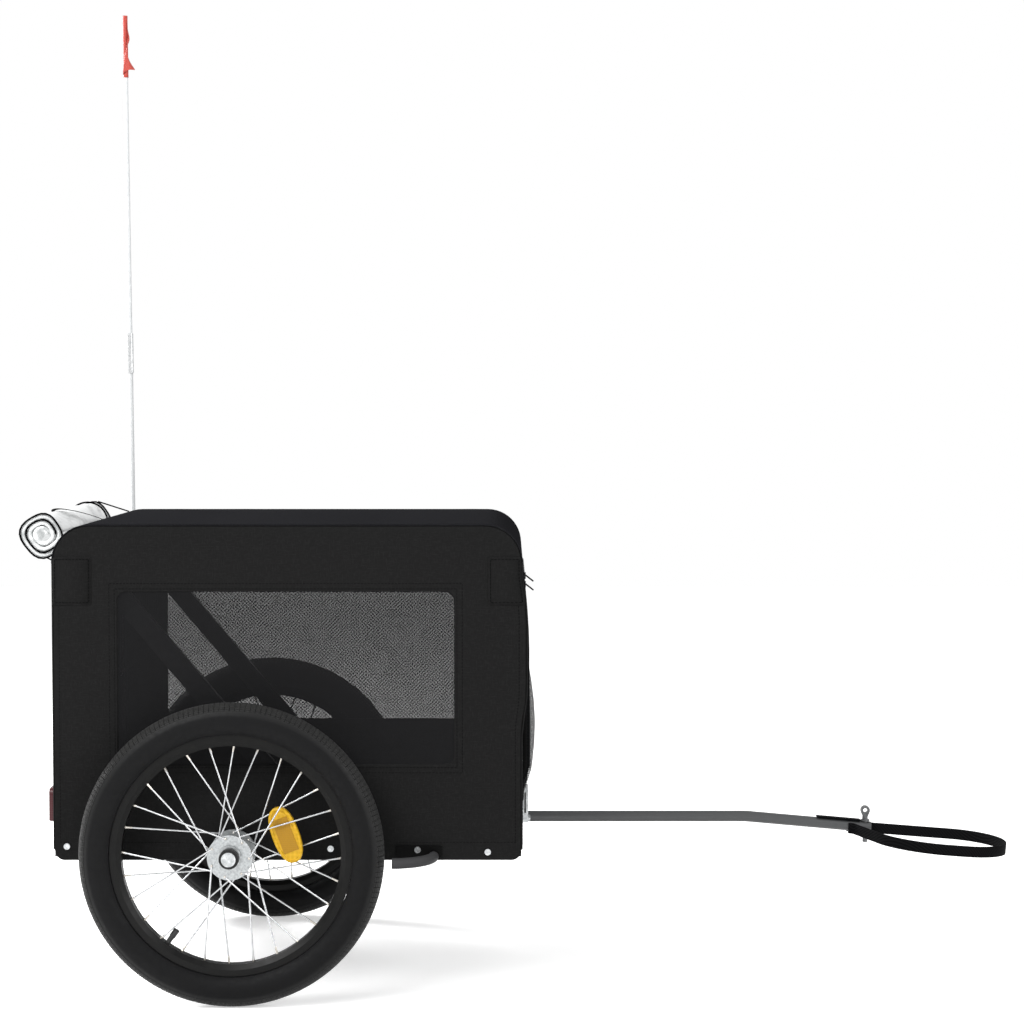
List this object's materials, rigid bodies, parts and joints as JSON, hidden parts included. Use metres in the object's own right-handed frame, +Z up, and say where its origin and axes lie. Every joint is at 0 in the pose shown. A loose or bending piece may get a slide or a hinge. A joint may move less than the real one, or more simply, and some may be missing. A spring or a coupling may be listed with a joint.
{
  "type": "dog bike trailer",
  "caption": "Two-wheeled bicycle trailer for a dog, with a folding cloth cabin, net windows, spoked wheels, a tow bar with safety strap and a pennant on a pole.",
  "frame": {"origin": "on the ground, in the middle of the whole trailer's length and width", "axes": "+X in the towing direction, +Y to the trailer's left, +Z up"},
  "size_m": [1.3508, 0.6366, 1.371],
  "materials": {
    "frame_paint": "satin black paint",
    "frame_plastic": "black moulded plastic",
    "post_alloy": "black anodised",
    "bright_steel": "zinc plated",
    "hub_alloy": "machined",
    "rim_alloy": "satin black",
    "tow_paint": "grey coated",
    "guard_paint": "satin black paint",
    "tyre_rubber": "matte",
    "valve_rubber": "matte",
    "cabin_cloth": "heathered woven cloth",
    "window_net": "fine black net",
    "webbing": "black webbing",
    "rain_film": "clear film",
    "amber_lens": "amber",
    "red_lens": "red",
    "pole_glass_fibre": "white",
    "flag_cloth": "orange red",
    "floor_panel": "black",
    "zip_metal": "black"
  },
  "bodies": {
    "base": {"base_side_rails": "frame_paint", "base_cross_tubes": "frame_paint", "base_connectors": "frame_plastic", "axle_cross_tube": "frame_paint", "axle_shafts": "bright_steel", "right_button_spring": "bright_steel", "left_button_spring": "bright_steel", "post_brackets": "frame_paint", "floor_board": "floor_panel", "right_side_panel": "cabin_cloth", "left_side_panel": "cabin_cloth", "right_window_mesh": "window_net", "left_window_mesh": "window_net", "front_panel": "cabin_cloth", "rear_panel": "cabin_cloth", "corner_patches": "cabin_cloth", "hem_screws": "bright_steel", "rear_reflectors": "red_lens", "wheel_guards": "guard_paint", "tow_bracket": "bright_steel", "tow_bracket_bolts": "bright_steel", "flag_socket": "frame_plastic"},
    "right_wheel": {"right_tyre": "tyre_rubber", "right_rim": "rim_alloy", "right_hub": "hub_alloy", "right_bearings": "bright_steel", "right_spokes": "bright_steel", "right_valve": "valve_rubber", "right_wheel_reflector": "amber_lens"},
    "left_wheel": {"left_tyre": "tyre_rubber", "left_rim": "rim_alloy", "left_hub": "hub_alloy", "left_bearings": "bright_steel", "left_spokes": "bright_steel", "left_valve": "valve_rubber", "left_wheel_reflector": "amber_lens"},
    "right_axle_button": {"right_axle_button": "bright_steel"},
    "left_axle_button": {"left_axle_button": "bright_steel"},
    "rear_lower_posts": {"rear_lower_posts": "post_alloy"},
    "rear_upper_posts": {"rear_upper_posts": "post_alloy"},
    "front_lower_posts": {"front_lower_posts": "post_alloy"},
    "front_upper_posts": {"front_upper_posts": "post_alloy"},
    "top_frame": {"top_rails": "frame_paint", "roof_cross_bars": "frame_paint", "roof_cover": "cabin_cloth", "rain_cover_roll": "rain_film", "roll_ties": "webbing"},
    "struts": {"struts": "post_alloy"},
    "front_door": {"front_door_binding": "cabin_cloth", "front_door_mesh": "window_net", "front_zip_pulls": "zip_metal"},
    "rear_door": {"rear_door": "cabin_cloth", "rear_zip_pulls": "zip_metal"},
    "tow_bar": {"tow_bar": "tow_paint", "safety_strap": "webbing"},
    "hitch_pin": {"hitch_pin": "bright_steel"},
    "flag_pole": {"flag_pole": "pole_glass_fibre", "pole_ferrule": "pole_glass_fibre", "flag": "flag_cloth"}
  },
  "joints": [
    {"name": "right_wheel_spin", "type": "hinge", "parent": "base", "child": "right_wheel", "pos_m": [-0.38032, -0.28, 0.2], "axis": [0, 1, 0], "continuous": true},
    {"name": "left_wheel_spin", "type": "hinge", "parent": "base", "child": "left_wheel", "pos_m": [-0.38032, 0.28, 0.2], "axis": [0, 1, 0], "continuous": true},
    {"name": "right_button_press", "type": "slide", "parent": "base", "child": "right_axle_button", "axis": [0, 1, 0], "range_m": [0, 0.003], "stiffness_N_per_m": 800, "springref_m": -0.002, "deforming": ["right_button_spring"]},
    {"name": "left_button_press", "type": "slide", "parent": "base", "child": "left_axle_button", "axis": [0, -1, 0], "range_m": [0, 0.003], "stiffness_N_per_m": 800, "springref_m": -0.002, "deforming": ["left_button_spring"]},
    {"name": "cabin_fold", "type": "hinge", "parent": "base", "child": "rear_lower_posts", "pos_m": [-0.60312, 0, 0.226], "axis": [0, 1, 0], "range_deg": [0, 80], "deforming": ["right_side_panel", "left_side_panel", "right_window_mesh", "left_window_mesh", "front_panel", "rear_panel", "corner_patches", "front_door_binding", "front_door_mesh", "front_zip_pulls", "rear_door", "rear_zip_pulls"]},
    {"name": "rear_knee", "type": "hinge", "parent": "rear_lower_posts", "child": "rear_upper_posts", "pos_m": [-0.60312, 0, 0.391], "axis": [0, 1, 0], "range_deg": [-160, 0]},
    {"name": "roof_level", "type": "hinge", "parent": "rear_upper_posts", "child": "top_frame", "pos_m": [-0.60312, 0, 0.556], "axis": [0, 1, 0], "range_deg": [0, 80]},
    {"name": "front_fold", "type": "hinge", "parent": "base", "child": "front_lower_posts", "pos_m": [-0.01752, 0, 0.226], "axis": [0, 1, 0], "range_deg": [-80, 0]},
    {"name": "front_knee", "type": "hinge", "parent": "front_lower_posts", "child": "front_upper_posts", "pos_m": [-0.01752, 0, 0.391], "axis": [0, 1, 0], "range_deg": [0, 160]},
    {"name": "strut_swing", "type": "hinge", "parent": "top_frame", "child": "struts", "pos_m": [-0.58233, 0, 0.59], "axis": [0, 1, 0], "range_deg": [-50, 0]},
    {"name": "front_door_drop", "type": "hinge", "parent": "base", "child": "front_door", "pos_m": [0.00178, 0, 0.2487], "axis": [0, 1, 0], "range_deg": [0, 90]},
    {"name": "rear_door_drop", "type": "hinge", "parent": "base", "child": "rear_door", "pos_m": [-0.62242, 0, 0.2487], "axis": [0, -1, 0], "range_deg": [0, 120]},
    {"name": "tow_bar_pull", "type": "slide", "parent": "base", "child": "tow_bar", "axis": [1, 0, 0], "range_m": [0, 0.024]},
    {"name": "hitch_pin_lift", "type": "slide", "parent": "tow_bar", "child": "hitch_pin", "axis": [0, 0, 1], "range_m": [0, 0.03]},
    {"name": "flag_pole_lift", "type": "slide", "parent": "base", "child": "flag_pole", "axis": [-0.0101, 0, 0.9999], "range_m": [0, 0.06]}
  ],
  "couplings": [
    {"joint": "rear_knee", "follows": "cabin_fold", "ratio": -2},
    {"joint": "roof_level", "follows": "cabin_fold", "ratio": 1},
    {"joint": "front_fold", "follows": "cabin_fold", "ratio": -1},
    {"joint": "front_knee", "follows": "cabin_fold", "ratio": 2},
    {"joint": "strut_swing", "follows": "cabin_fold", "ratio": -0.625}
  ]
}
